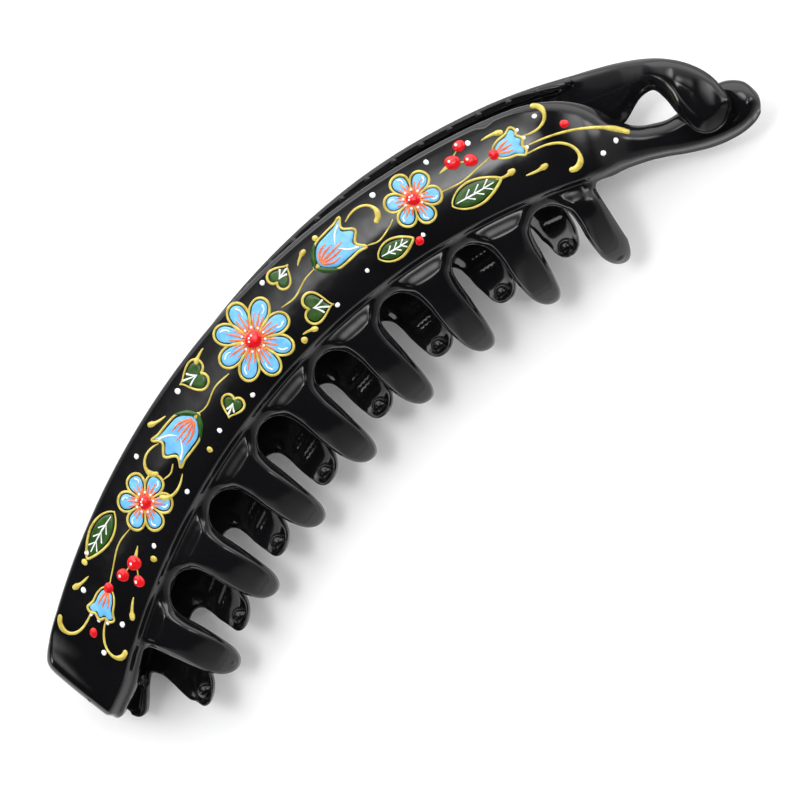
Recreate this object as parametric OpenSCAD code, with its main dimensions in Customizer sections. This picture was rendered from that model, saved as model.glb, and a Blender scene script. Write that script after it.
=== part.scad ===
// A banana hair clip, closed and lying on its side. Two curved comb halves turn on a pin at the
// wide end, and the hooks at the narrow end cross over each other.
// +X runs along the clip from the hinge to the hooks, +Y points to its outer, convex side, and +Z up.
// The origin is on the surface that it lies on, under the middle of its box.

/* [Clip] */
// Height of the clip as it lies on its side, across both halves
clip_h = 18; // [17.5:0.25:19]
// Radius of the outer, convex edge
arc_r = 124.6; // [124:0.2:125.4]
// Width of each curved band, up to the foot of its bevel
band_w = 14.7; // [14.3:0.1:15]
// Thickness of the moulded walls
wall = 2.2; // [1.8:0.1:2.4]
// Height of the rim along the convex edge, measured down from the band's face
rim_h = 6; // [5.5:0.25:6.25]
// Thickness of that rim
rim_t = 1.6; // [1.4:0.1:1.8]
// Turn of the lower half about the hinge end, which the crossed hooks hold it at
lower_turn = 2.1; // [1.9:0.1:2.3]

/* [Teeth] */
// Angle along the arc from one tooth of the upper half to the next
pitch_upper = 7.29; // [7.2:0.01:7.35]
// The same on the lower half
pitch_lower = 6.82; // [6.78:0.01:6.88]
// Angle along the arc of the upper half's first tooth, at the hooks
first_upper = 18.7; // [18.5:0.1:18.9]
// The same on the lower half
first_lower = 13.6; // [13.4:0.1:13.8]
// Distance of the crown of each arch from the convex edge, on the upper half
arch_upper = 16; // [15.6:0.1:16.4]
// The same on the lower half
arch_lower = 19.5; // [19:0.1:20]
// Reach of the longest tooth from the convex edge, on the upper half
reach_upper = 32; // [31.5:0.1:32.5]
// The same on the lower half
reach_lower = 31.2; // [30.8:0.1:31.6]
// Loss of reach for each squared degree away from the longest tooth
reach_loss = 0.0054; // [0.005:0.0002:0.006]
// Half the width of a tooth where the arches spring
root_half = 3.3; // [3.1:0.1:3.4]
// How far a tooth curves down from the band's bevel to its tip
tooth_drop = 6.4; // [6:0.1:6.6]
// Share of that drop which is a straight slope
slope_share = 0.25; // [0.2:0.01:0.35]
// Radius of the ball on the inner face of each tooth
ball_r = 1.45; // [1.2:0.05:1.5]

/* [Hinge] */
// Distance of the pin's axis from the hinge end of the clip
pin_x = 3.7; // [3.6:0.1:4]
// Radius of the pin
pin_r = 0.8; // [0.7:0.05:0.9]
// Radius of the knuckles round the pin
knuckle_r = 2.2; // [2:0.1:2.3]
// Clearance between the pin and the knuckles' bores
pin_gap = 0.05; // [0.03:0.01:0.08]
// Gap between neighbouring knuckles, and between the knuckles and the pin's heads
knuckle_gap = 0.3; // [0.25:0.05:0.4]
// Length of each of the two upper knuckles
upper_knuckle = 2.9; // [2.6:0.1:3]
// Length of the lower knuckle between them
lower_knuckle = 4.4; // [4:0.1:4.5]
// Radius of the pin's heads
head_r = 1.3; // [1.2:0.1:1.5]
// Thickness of the pin's heads
head_t = 0.6; // [0.5:0.1:0.7]

/* [Hidden] */
$fn = 48;

mid_h = clip_h / 2;
// Middle of the clip's box, measured from the hinge end of its chord
box_middle = [70.92, 3.85];
// Centre of the outer arc, measured from the same point
arc_middle = [77.8, -97.9];
// The lower half is turned about the pin's axis at this Y
hinge_y = -5;
teeth = 8;

// Turn of the teeth and of the end cut away from the arc's radius: [angle along the arc, turn]
fan_upper = [[-39.45, 24.8], [-38.2, 22.5], [-36.9, 11.8], [5, -2.3], [21, -3.6], [24, 0], [40, 0]];
fan_lower = [[-39.45, 24.8], [-38.2, 22.5], [-36.9, 20.2], [-34, 17.3], [-24, 10.1], [15, -10.1], [19, 0], [40, 0]];

// Across the band: [share of its width, drop below its face]
face_points = [[0, 1.1], [0.06, 0.25], [0.34, 0], [0.6, 0], [0.87, 0.45], [1, 1.9]];
foot_drop = 1.9;

// Along each half, from the hinge end to its hook: [angle along the arc, inset of the convex edge,
// width up to the bevel's foot, drop of the face, rim, wall, thickness at the concave edge, hollow]
ANGLE = 0;
INSET = 1;
WIDTH = 2;
DROP = 3;
RIM = 4;
WALL = 5;
EDGE = 6;
HOLLOW = 7;
comb_stations = [
    [-39.45, 1.4, 12.4, 3.4, 2.6, 2.2, 1.8, 0],
    [-39.2, 0.6, 13.4, 2.3, 3.7, 3.2, 2.6, 0],
    [-38.75, 0.15, 14.2, 1.4, 4.6, 4.1, 3.0, 0],
    [-38.0, 0.0, 14.6, 0.8, 5.2, 4.7, 3.2, 0],
    [-37.2, 0.0, 14.7, 0.5, 5.5, 4.9, 3.2, 0],
    [-37.1, 0.0, 14.7, 0.45, 5.5, 2.3, 2.1, 0],
    [-36.0, 0.0, 14.7, 0.15, 5.85, 2.2, 2.0, 0],
    [-34.6, 0.0, 14.7, 0.0, 6.0, 2.2, 2.0, 0],
    [13.0, 0.0, 14.7, 0.0, 6.0, 2.2, 2.0, 0]];
upper_stations = concat(comb_stations, [
    [16.0, 0.3, 14.7, 0.1, 5.4, 2.2, 2.0, 0],
    [17.5, 0.6, 14.7, 0.3, 4.8, 2.3, 2.0, 0],
    [19.2, 1.4, 14.7, 0.9, 4.0, 2.5, 2.0, 0],
    [20.3, 2.4, 14.6, 1.6, 3.4, 2.7, 1.6, 0],
    [21.4, 3.9, 14.2, 2.8, 3.1, 2.9, 1.2, 0],
    [22.4, 6.0, 13.8, 4.1, 3.0, 3.0, 1.0, 0],
    [23.4, 7.6, 13.6, 5.2, 3.0, 3.0, 1.0, 0],
    [24.8, 8.5, 13.4, 6.4, 3.0, 3.0, 1.0, 0],
    [26.0, 8.5, 13.4, 7.1, 3.0, 3.0, 1.0, 0.1],
    [27.2, 7.8, 13.5, 7.5, 3.0, 3.0, 1.0, 0.4],
    [28.6, 6.4, 13.4, 7.8, 3.0, 3.0, 1.0, 0.8],
    [30.0, 4.7, 13.0, 7.8, 3.0, 3.0, 1.0, 1.1],
    [31.2, 3.9, 12.3, 7.5, 3.0, 3.0, 1.0, 1.2],
    [32.2, 4.1, 11.4, 7.0, 3.0, 3.0, 1.0, 1.1],
    [33.0, 5.2, 10.2, 6.7, 2.9, 2.9, 0.9, 0.5],
    [33.5, 6.6, 9.0, 6.9, 2.4, 2.4, 0.7, 0.1]]);
lower_stations = concat(comb_stations, [
    [15.0, 0.5, 14.7, 0.0, 5.6, 2.2, 2.0, 0],
    [17.5, 1.0, 14.7, 0.2, 4.8, 2.3, 1.8, 0],
    [19.4, 1.3, 14.2, 0.9, 4.0, 2.5, 1.4, 0],
    [21.2, 1.6, 13.2, 2.2, 3.3, 2.8, 1.1, 0],
    [23.0, 1.8, 11.8, 3.9, 3.0, 2.9, 1.0, 0],
    [24.7, 1.8, 9.9, 5.7, 3.0, 3.0, 1.0, 0],
    [25.5, 2.1, 8.4, 6.8, 3.0, 3.0, 1.0, 0],
    [26.3, 2.4, 7.4, 8.0, 3.0, 3.0, 1.0, 0],
    [27.1, 2.7, 7.0, 9.2, 3.0, 3.0, 1.0, 0],
    [27.9, 3.0, 8.4, 10.1, 3.0, 3.0, 1.0, 0],
    [28.6, 3.4, 10.8, 10.7, 3.0, 3.0, 1.0, 0],
    [29.3, 3.9, 13.0, 11.0, 3.0, 3.0, 1.0, 0],
    [30.0, 4.6, 14.6, 11.1, 3.0, 3.0, 1.0, 0],
    [30.9, 5.8, 15.2, 11.2, 3.0, 3.0, 1.0, 0],
    [31.7, 7.4, 15.0, 11.2, 3.0, 3.0, 1.0, 0],
    [32.4, 9.2, 14.0, 11.4, 2.8, 2.8, 0.9, 0],
    [32.9, 11.0, 12.6, 11.8, 2.2, 2.2, 0.7, 0]]);

// Outline of half a tooth near its tip: [half width, distance from the tip]
tip_points = [[0, 0], [1.25, 0.35], [2.2, 1.25], [2.75, 3.2]];
// Angles along a quarter of an arch, from its springing towards its crown
arch_steps = [0, 30, 60];
// Between the last tooth and the hinge end: [half width, distance from the convex edge]
corner_upper = [[2.87, 23.5], [2.98, 21], [3.1, 18.5], [3.3, 16.5], [3.9, 15.5]];
corner_lower = [[3.1, 23.9], [3.35, 20], [3.6, 17.3], [4.2, 15.6]];

// What differs between the halves
FIRST = 0;
PITCH = 1;
ARCH = 2;
REACH = 3;
FAN = 4;
STATIONS = 5;
LONGEST = 6;
CORNER = 7;
upper = [first_upper, pitch_upper, arch_upper, reach_upper, fan_upper, upper_stations, -8.6, corner_upper];
lower = [first_lower, pitch_lower, arch_lower, reach_lower, fan_lower, lower_stations, -9.5, corner_lower];

function at(half, angle, what) = lookup(angle, [for (s = half[STATIONS]) [s[ANGLE], s[what]]]);
function reach(half, angle) = half[REACH] - reach_loss * pow(angle - half[LONGEST], 2);
function spread(across, depth) = across / (arc_r - 0.64 * depth) * 180 / PI;

// One side of a tooth with a quarter of an arch: [angle from the tooth's middle, reach]
function arch_half(half) = half[PITCH] * PI / 180 * (arc_r - 0.64 * half[ARCH]) / 2 - root_half;
function points_at(list) = [for (p = list) [spread(p[0], p[1]), p[1]]];
function arch(half, end) =
    let (wide = arch_half(half), spring = half[ARCH] + wide)
    concat(
        [[root_half - 0.2, (end - tip_points[3][1] + spring) / 2]],
        [for (turn = arch_steps) [root_half + wide * (1 - cos(turn)), spring - wide * sin(turn)]]);

// Sections of the comb as [angle, reach]: one tooth with what follows on both sides of it
function one_tooth(half, n) =
    let (
        middle = half[FIRST] - n * half[PITCH],
        end = reach(half, middle),
        tip = [for (p = tip_points) [p[0], end - p[1]]],
        hook_side = points_at(concat(tip, arch(half, end))),
        hinge_side = n == teeth - 1 ? points_at(concat(tip, half[CORNER])) : hook_side)
    concat(
        [for (k = [len(hinge_side) - 1:-1:1]) [middle - hinge_side[k][0], hinge_side[k][1]]],
        [for (p = hook_side) [middle + p[0], p[1]]],
        [[middle + half[PITCH] / 2, half[ARCH]]]);
function comb(half) = [for (n = [teeth - 1:-1:0]) each one_tooth(half, n)];

// All sections of a half. The tooth nearest the hook runs straight up into the bar.
last_side = 1.6;
function columns(half) =
    let (row = comb(half), last = half[FIRST] + last_side)
    concat(
        [for (a = [-39.45, -39.2, -38.75, -38, -37.2, -37.1, -36.3, -35.5]) if (a < row[0][0] - 0.15)
            [a, at(half, a, WIDTH) + 0.7]],
        [for (p = row) if (p[0] <= last) p],
        [[last + 0.05, 19], [last + 0.2, at(half, last, WIDTH) + 1.2]],
        [for (s = half[STATIONS]) if (s[ANGLE] > last + 0.5) [s[ANGLE], s[WIDTH] + 0.5]]);

// Drop below the bevel's foot along a tooth, and its slope there
function tooth_share(half, angle, depth) = max(0, depth - band_w) / (reach(half, angle) - band_w);
function tooth_fall(half, angle, depth) =
    let (share = tooth_share(half, angle, depth))
    tooth_drop * share * (slope_share + (1 - slope_share) * share);
function tooth_slope(half, angle, depth) =
    atan(tooth_drop / (reach(half, angle) - band_w)
        * (slope_share + 2 * (1 - slope_share) * tooth_share(half, angle, depth)));

// One closed section of a half, as [distance from the convex edge, height above the middle plane]
function section(half, angle, out) =
    let (
        inset = at(half, angle, INSET),
        width = at(half, angle, WIDTH),
        top = mid_h - at(half, angle, DROP),
        rim = at(half, angle, RIM) * rim_h / 6,
        thick = at(half, angle, WALL) * wall / 2.2,
        edge = at(half, angle, EDGE),
        hollow = at(half, angle, HOLLOW),
        across = width - inset,
        lip = min(rim_t, across / 3),
        foot = top - foot_drop,
        // Short sections have hardly any of the curve at the tip of a tooth
        ease = min(1, (out - width) / 4))
    concat(
        [[inset + 0.1, top - rim]],
        [for (n = [0:len(face_points) - 1])
            [inset + face_points[n][0] * across,
             top - face_points[n][1] - (n == 2 || n == 3 ? hollow : 0)]],
        [for (s = [0.4, 0.75, 1])
            let (u = width + s * (out - width) - (s == 1 ? 0.25 * ease : 0))
            [u, foot - tooth_fall(half, angle, u)]],
        [[out, foot - tooth_fall(half, angle, out) - edge / 2]],
        [for (s = [1, 0.5])
            let (
                u = width + s * (out - width) - (s == 1 ? 0.25 * ease : 0),
                slope = tooth_slope(half, angle, u))
            [u - edge * sin(slope) * s * ease, foot - tooth_fall(half, angle, u) - edge * cos(slope)]],
        [[inset + 0.93 * across, (foot - edge + top - thick) / 2]],
        [[inset + 0.8 * across, top - thick]],
        [[inset + lip * 1.1, top - min(rim, thick + 0.35)]],
        [[inset + lip, top - rim]]);

// The triangles that close an end, as places in its section
end_face = [
    [0, 1, 16], [1, 15, 16], [1, 2, 15], [2, 3, 15], [3, 14, 15], [3, 4, 14], [4, 5, 14], [5, 13, 14],
    [5, 6, 13], [6, 7, 13], [7, 12, 13], [7, 8, 12], [8, 11, 12], [8, 9, 11], [9, 10, 11]];

// A point in plan, along a line that starts on the outer arc and leans with the fan
function plan(half, angle, depth) =
    let (lean = angle + lookup(angle, half[FAN]))
    arc_middle + arc_r * [sin(angle), cos(angle)] - depth * [sin(lean), cos(lean)];

module shell(half) {
    cuts = columns(half);
    rings = [for (c = cuts) section(half, c[0], c[1])];
    count = len(rings[0]);
    last = (len(cuts) - 1) * count;
    polyhedron(
        [for (n = [0:len(cuts) - 1]) for (p = rings[n]) [each plan(half, cuts[n][0], p[0]), p[1]]],
        concat(
            [for (n = [0:len(cuts) - 2]) for (k = [0:count - 1])
                let (a = n * count + k, b = n * count + (k + 1) % count)
                each [[a, b + count, b], [a, a + count, b + count]]],
            end_face,
            [for (t = end_face) [last + t[2], last + t[1], last + t[0]]]));
}

// The balls on the inner faces of the teeth
module balls(half) {
    for (n = [0:teeth - 1]) {
        angle = half[FIRST] - n * half[PITCH];
        depth = reach(half, angle) - 1.75;
        place = plan(half, angle, depth);
        translate([place[0], place[1], mid_h - foot_drop - tooth_fall(half, angle, depth) - 2.3])
            sphere(r = ball_r, $fn = 24);
    }
}

// Along the pin, measured from the end of the barrel nearest the convex edge
barrel_y = 0.37;
barrel = 2 * upper_knuckle + lower_knuckle + 2 * knuckle_gap;

// A knuckle and the web that joins it to the band above it
module knuckle(start, long) {
    translate([pin_x, barrel_y - start, 0])
        rotate([90, 0, 0])
            difference() {
                union() {
                    cylinder(r = knuckle_r, h = long);
                    translate([-knuckle_r, 0, 0])
                        cube([2 * knuckle_r, mid_h - wall + 0.4, long]);
                }
                translate([0, 0, -1])
                    cylinder(r = pin_r + pin_gap, h = long + 2);
            }
}

module place() {
    translate([-box_middle[0], -box_middle[1], mid_h])
        children();
}

module upper_half() {
    color([0.03, 0.03, 0.035])
        place()
            union() {
                shell(upper);
                balls(upper);
                knuckle(0, upper_knuckle);
                knuckle(barrel - upper_knuckle, upper_knuckle);
            }
}

module lower_half() {
    color([0.05, 0.05, 0.06])
        place()
            union() {
                translate([pin_x, hinge_y, 0])
                    rotate([0, 0, lower_turn])
                        translate([-pin_x, -hinge_y, 0])
                            mirror([0, 0, 1]) {
                                shell(lower);
                                balls(lower);
                            }
                mirror([0, 0, 1])
                    knuckle(upper_knuckle + knuckle_gap, lower_knuckle);
            }
}

// The pin's shank with a low head at each end, as a profile turned about its axis
module hinge_pin() {
    shank = barrel + 2 * knuckle_gap;
    color([0.7, 0.7, 0.72])
        place()
            translate([pin_x, barrel_y + knuckle_gap, 0])
                rotate([90, 0, 0])
                    rotate_extrude()
                        polygon([
                            [0, -head_t], [head_r - 0.3, -head_t], [head_r, -head_t + 0.3], [head_r, 0],
                            [pin_r, 0], [pin_r, shank],
                            [head_r, shank], [head_r, shank + head_t - 0.3], [head_r - 0.3, shank + head_t],
                            [0, shank + head_t]]);
}

upper_half();
lower_half();
hinge_pin();
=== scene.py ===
import math
import random

import bpy
import bmesh
import numpy as np
from mathutils import Matrix, Vector
from mathutils.geometry import delaunay_2d_cdt


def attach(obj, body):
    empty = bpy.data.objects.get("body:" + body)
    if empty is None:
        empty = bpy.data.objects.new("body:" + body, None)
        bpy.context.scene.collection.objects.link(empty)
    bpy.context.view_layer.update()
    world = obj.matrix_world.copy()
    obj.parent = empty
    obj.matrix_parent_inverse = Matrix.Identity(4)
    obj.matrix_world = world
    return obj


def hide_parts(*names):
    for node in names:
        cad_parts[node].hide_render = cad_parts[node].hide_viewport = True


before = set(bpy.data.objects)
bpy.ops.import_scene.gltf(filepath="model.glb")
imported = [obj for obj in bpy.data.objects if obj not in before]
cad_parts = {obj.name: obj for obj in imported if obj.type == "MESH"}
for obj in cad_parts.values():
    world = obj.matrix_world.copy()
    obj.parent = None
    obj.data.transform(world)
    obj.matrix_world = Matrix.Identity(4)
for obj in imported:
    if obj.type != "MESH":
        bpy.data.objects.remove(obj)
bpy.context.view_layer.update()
scene = bpy.context.scene

# The clip's plan. Lengths are in mm until a mesh is made. u is the distance from the convex edge, and angles
# are in degrees along the arc. Heights are measured from the middle plane between the halves.
MM = 0.001
ORIGIN = np.array([70.92, 3.85])  # where the scene's origin lies in plan
ARC = np.array([77.8, -97.9])  # centre of the convex edge's arc
RADIUS = 124.6  # of the convex edge
MIDDLE = 9.0  # height of the middle plane over the table, and of the face over the middle plane
BAND = 14.7  # width of the painted band
TEETH = 8
HALF_TOOTH = 3.3  # half a tooth's width at its root
SIDE = 1.46  # from the last tooth's middle to its straight side, in degrees
PIN_X, HINGE_Y = 3.7, -5.0  # the pin runs along Y at PIN_X, and the lower half turns about this point
TURN = 2.1  # of the lower half, in degrees
HINGE_START = 0.37  # Y at which the first knuckle starts
KNUCKLE, PIN_HOLE = 2.2, 0.85  # radii
WEB = 6.9  # height of a knuckle's web over the pin's axis
BALL, NUB = 1.45, 0.62  # radii of the balls on the teeth and of the nubs inside the rim
BALL_BACK, BALL_DOWN = 1.75, 2.3  # from the tooth's tip and from its face to the ball's centre

# angle, inset of the convex edge, width, drop of the face, rim, wall, edge, hollow
COMB = [
    (-39.45, 1.4, 12.4, 3.1, 2.6, 2.2, 1.8, 0), (-39.2, 0.6, 13.4, 2.15, 3.7, 3.2, 2.6, 0),
    (-38.75, 0.2, 14.2, 1.35, 4.6, 4.1, 3.0, 0), (-38.0, 0.1, 14.6, 0.8, 5.2, 4.7, 3.2, 0),
    (-37.2, 0.1, 14.7, 0.5, 5.5, 4.9, 3.2, 0), (-37.1, 0.1, 14.7, 0.45, 5.5, 2.3, 2.1, 0),
    (-36.0, 0.15, 14.7, 0.15, 5.85, 2.2, 2.0, 0), (-34.6, 0.22, 14.7, 0, 6.0, 2.2, 2.0, 0),
    (0.0, 0.22, 14.7, 0, 6.0, 2.2, 2.0, 0)]
UPPER_END = [
    (13.0, 0.22, 14.7, 0, 6.0, 2.2, 2.0, 0), (16.0, 0.3, 14.7, 0.1, 5.4, 2.2, 2.0, 0),
    (17.5, 0.6, 14.7, 0.3, 4.8, 2.3, 2.0, 0),
    (19.2, 1.4, 14.7, 0.9, 4.0, 2.5, 2.0, 0), (20.3, 2.4, 14.6, 1.6, 3.4, 2.7, 1.6, 0),
    (21.4, 3.9, 14.2, 2.8, 3.1, 2.9, 1.6, 0), (22.4, 6.0, 13.8, 4.1, 3.0, 3.0, 1.7, 0),
    (23.4, 7.6, 13.6, 5.2, 3.0, 3.0, 1.8, 0), (24.8, 8.5, 13.4, 6.4, 3.0, 3.0, 1.8, 0),
    (26.0, 8.5, 13.4, 7.1, 3.0, 3.0, 1.8, 0.1), (27.2, 7.8, 13.5, 7.5, 3.0, 3.0, 1.8, 0.4),
    (28.6, 6.4, 13.4, 7.8, 3.0, 3.0, 1.8, 0.8), (30.0, 4.7, 13.0, 7.8, 3.0, 3.0, 1.8, 1.1),
    (31.2, 3.9, 12.3, 7.5, 3.0, 3.0, 1.8, 1.2), (32.2, 4.1, 11.4, 7.0, 3.0, 3.0, 1.8, 1.1),
    (33.0, 5.2, 10.2, 6.7, 2.9, 2.9, 1.8, 0.5), (33.5, 6.6, 9.0, 6.9, 2.4, 2.4, 1.6, 0.1)]
LOWER_END = [
    (3.0, 0.2, 14.7, 0, 6.0, 2.2, 2.0, 0), (7.0, 0.3, 14.7, 0, 6.0, 2.2, 2.0, 0),
    (10.0, 0.5, 14.7, 0, 6.0, 2.2, 2.0, 0), (13.0, 0.7, 14.7, 0, 6.0, 2.2, 2.0, 0),
    (15.0, 0.8, 14.7, 0, 5.6, 2.2, 2.0, 0), (17.5, 1.0, 14.7, 0.2, 4.8, 2.3, 1.8, 0),
    (19.4, 1.24, 14.2, 0.9, 4.0, 2.5, 1.7, 0), (21.2, 1.49, 13.2, 2.2, 3.3, 2.8, 1.7, 0),
    (23.0, 1.72, 11.8, 3.9, 3.0, 2.9, 1.8, 0), (24.7, 1.94, 9.9, 5.7, 3.0, 3.0, 1.8, 0),
    (25.5, 2.1, 8.4, 6.8, 3.0, 3.0, 1.8, 0), (26.3, 2.3, 7.4, 8.0, 3.0, 3.0, 1.8, 0),
    (27.1, 2.55, 7.0, 9.2, 3.0, 3.0, 1.8, 0), (27.9, 2.88, 8.4, 10.1, 3.0, 3.0, 1.8, 0),
    (28.6, 3.27, 10.8, 10.7, 3.0, 3.0, 1.8, 0), (29.3, 3.78, 13.0, 11.0, 3.0, 3.0, 1.8, 0),
    (30.0, 4.43, 14.6, 11.1, 3.0, 3.0, 1.8, 0), (30.9, 5.55, 15.2, 11.2, 3.0, 3.0, 1.8, 0),
    (31.7, 6.95, 15.0, 11.2, 3.0, 3.0, 1.8, 0), (32.4, 8.8, 14.0, 11.4, 2.8, 2.8, 1.8, 0),
    (32.9, 10.7, 12.6, 11.8, 2.2, 2.2, 1.6, 0)]
# The lower half's lip at the hinge is wider
LOWER_COMB = [(a, inset, wide + min(1.7, max(0, -0.9 * (a + 36.9))), *rest)
              for a, inset, wide, *rest in COMB]

# angle, turn of the lines across the comb, in degrees
FAN_UPPER = [(-39.45, 24.8), (-38.2, 22.5), (-36.9, 11.8), (5, -2.3), (21, -3.6), (24, 0), (40, 0)]
FAN_LOWER = [(-39.45, 24.8), (-38.2, 22.5), (-36.9, 20.2), (-34, 17.3), (-24, 10.1), (15, -10.1),
             (19, 0), (40, 0)]
INSET, WIDTH, DROP, RIM, WALL, EDGE, HOLLOW = range(1, 8)  # columns of the rows

# How the face falls across the band, by share of its width
FACE = [(0, 0.29), (0.12, 0.15), (0.28, 0.04), (0.45, 0), (0.60, 0.04), (0.74, 0.12), (0.86, 0.22),
        (0.935, 0.33), (0.95, 0.43), (0.965, 0.74), (1, 1.9)]

# For each half: the first tooth, the pitch, the arches' crown, the longest reach, its angle and how the
# reach falls off, each tooth's extra reach and how far its tip leans, the hinge end's depth, how much slimmer
# the first tooth is, the last tooth's outer side as (half width, u), and each knuckle's start and length
UPPER = dict(first=18.7, pitch=7.29, arch=16.0, reach=32.0, longest=-8.6, loss=0.0054,
             extra=[0.1, 0, 0, 0, 0, 0.1, 0.15, 0.45], lean=[0.08, 0.02, 0.06, 0.12, 0.2, 0.26, 0.26, 0.12],
             fan=FAN_UPPER, rows=COMB + UPPER_END, deep=13.1, slim=1.0,
             corner=[(2.87, 23.5), (2.98, 21), (3.1, 18.5), (3.3, 16.5), (3.9, 15.5)],
             knuckles=[(0, 2.9), (7.9, 2.9)])
LOWER = dict(first=13.6, pitch=6.82, arch=19.5, reach=31.2, longest=-9.4, loss=0.0054,
             extra=[0.1, 0.2, 0.2, 0.2, 0.2, 0.25, 0.6, 0.4],
             lean=[0.16, 0.2, 0.24, 0.24, 0.24, 0.24, 0.24, 0.06],
             fan=FAN_LOWER, rows=LOWER_COMB + LOWER_END, deep=13.6, slim=0.0,
             corner=[(3.1, 23.9), (3.35, 20), (3.6, 17.3), (4.2, 15.6)],
             knuckles=[(3.2, 4.4)])


def smooth(table, x):
    """Monotone cubic through the rows (place, value) of a table."""
    p, v = np.array([(r[0], r[1]) for r in table], float).T
    x = np.clip(np.asarray(x, float), p[0], p[-1])
    h, d = np.diff(p), np.diff(v) / np.diff(p)
    m = np.zeros(len(p))
    same = d[:-1] * d[1:] > 0
    m[1:-1][same] = 2 * d[:-1][same] * d[1:][same] / (d[:-1] + d[1:])[same]
    m[0], m[-1] = d[0], d[-1]
    i = np.clip(np.searchsorted(p, x, side="right") - 1, 0, len(p) - 2)
    s = (x - p[i]) / h[i]
    return ((1 + 2 * s) * (1 - s) ** 2 * v[i] + s * (1 - s) ** 2 * h[i] * m[i]
            + s * s * (3 - 2 * s) * v[i + 1] + s * s * (s - 1) * h[i] * m[i + 1])


def unit(x):
    """Values held between 0 and 1."""
    return np.clip(x, 0, 1)


def ease(x):
    """A soft step from 0 to 1."""
    x = unit(x)
    return x * x * (3 - 2 * x)


def row(half, angle, what):
    """A column of the half's rows at an angle."""
    return smooth([(r[0], r[what]) for r in half["rows"]], angle)


def plan(half, angle, u):
    """Plan positions of points given by their angle and u."""
    angle, u = np.asarray(angle, float), np.asarray(u, float)
    a = np.radians(angle)
    lean = np.radians(angle + smooth(half["fan"], angle))
    x = ARC[0] + RADIUS * np.sin(a) - u * np.sin(lean)
    y = ARC[1] + RADIUS * np.cos(a) - u * np.cos(lean)
    return np.stack([x, y], -1)


def unplan(half, xy):
    """Angle and u of points in plan."""
    d = xy - ARC
    a = np.degrees(np.arctan2(d[:, 0], d[:, 1]))
    u = RADIUS - np.hypot(d[:, 0], d[:, 1])
    for _ in range(14):
        here = plan(half, a, u)
        da = (plan(half, a + 0.02, u) - here) / 0.02
        du = (plan(half, a, u + 0.02) - here) / 0.02
        e = xy - here
        det = da[:, 0] * du[:, 1] - da[:, 1] * du[:, 0]
        det = np.where(np.abs(det) < 0.05, 0.05 * np.sign(det + 1e-9), det)
        a = np.clip(a + np.clip((e[:, 0] * du[:, 1] - e[:, 1] * du[:, 0]) / det, -1.5, 1.5), -40.5, 34.5)
        u = u + np.clip((da[:, 0] * e[:, 1] - da[:, 1] * e[:, 0]) / det, -3, 3)
    return a, u


def arc_radius(u):
    """Radius on which a degree is as long as it is at u, where the teeth fan out."""
    return RADIUS - 0.64 * u


def reach(half, angle):
    """u of the teeth's tips."""
    tooth = [half["first"] - n * half["pitch"] for n in range(TEETH)]
    extra = np.interp(angle, tooth[::-1], half["extra"][::-1])
    return half["reach"] - half["loss"] * (np.asarray(angle) - half["longest"]) ** 2 + extra


def leaning(half, angle, u):
    """How far the nearest tooth leans at u, in degrees."""
    n = np.clip(np.round((half["first"] - np.asarray(angle)) / half["pitch"]), 0, TEETH - 1).astype(int)
    return np.array(half["lean"])[n] * np.clip((np.asarray(u) - 18.5) / 12, 0, 1.1)


def spread(across, u):
    """Degrees that a length across a tooth takes."""
    return across / arc_radius(u) * 180 / math.pi


def outline(half):
    """The half's edge as (angle, u, kind), in order. kind is 0 convex, 1 teeth and 2 an end."""
    wide = half["pitch"] * math.pi / 180 * arc_radius(half["arch"]) / 2 - HALF_TOOTH
    spring = half["arch"] + wide
    teeth = []
    for n in range(TEETH - 1, -1, -1):
        middle = half["first"] - n * half["pitch"]
        end = reach(half, middle)
        tip = [(0, end), (0.75, end - 0.12), (1.35, end - 0.45), (2.12, end - 1.4), (2.68, end - 3.3)]
        arch = [(3.1, (end - 3.2 + spring) / 2), (HALF_TOOTH, spring)]
        arch += [(HALF_TOOTH + wide * (1 - math.cos(t)), spring - wide * math.sin(t))
                 for t in (0.45, 0.9, 1.25)]
        left = tip + (half["corner"] if n == TEETH - 1 else arch)
        right = tip + arch
        teeth += [(middle - spread(w, u), u) for w, u in left[:0:-1]]
        teeth += [(middle + spread(w, u), u) for w, u in right]
        if n:
            teeth.append((middle + half["pitch"] / 2, half["arch"]))
    last = half["first"] + SIDE
    teeth = [(a - leaning(half, a, u), u) for a, u in teeth if a < last]
    end = half["rows"][-1][0]
    points = []
    # The hinge end, from the convex edge to the concave one
    start, inset = half["rows"][0][:2]
    for t in np.linspace(0.02, 0.98, 14):
        points.append((start, inset + t * (half["deep"] - inset), 2))
    for a in (-39.2, -38.75, -38.0, -37.2, -36.4, -35.6):
        if a < teeth[0][0] - 0.15:
            points.append((a, row(half, a, WIDTH) + 0.7, 1))
    points += [(a, u, 1) for a, u in teeth]
    # The straight side of the tooth beside the latch, then the latch end and back along the convex edge
    slim = half["slim"]
    points += [(last - 0.12 * slim, 24, 1), (last - 0.34 * slim, 20, 1), (last - 0.56 * slim, 17.2, 1),
               (last - 0.64 * slim, 15.9, 1), (last + 0.3 - 0.7 * slim, 15.1, 1)]
    for a in np.arange(last + 1.0, end - 0.5, 0.7):
        points.append((a, row(half, a, WIDTH) + 0.5, 2))
    low, high = row(half, end, INSET), row(half, end, WIDTH) + 0.5
    points.append((end - 0.4, row(half, end - 0.4, WIDTH) + 0.55, 2))
    for t, out in ((0.95, 0), (0.5, 0.15), (0.05, 0.03)):
        points.append((end + out, high + (low - high) * (1 - t), 2))
    for a in np.arange(end - 0.35, 14, -0.6):
        points.append((a, row(half, a, INSET), 2))
    for a in [*np.arange(13.6, -37.6, -0.6), -38.2, -38.75, -39.1, -39.3]:
        points.append((a, row(half, a, INSET), 0))
    return points


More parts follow.
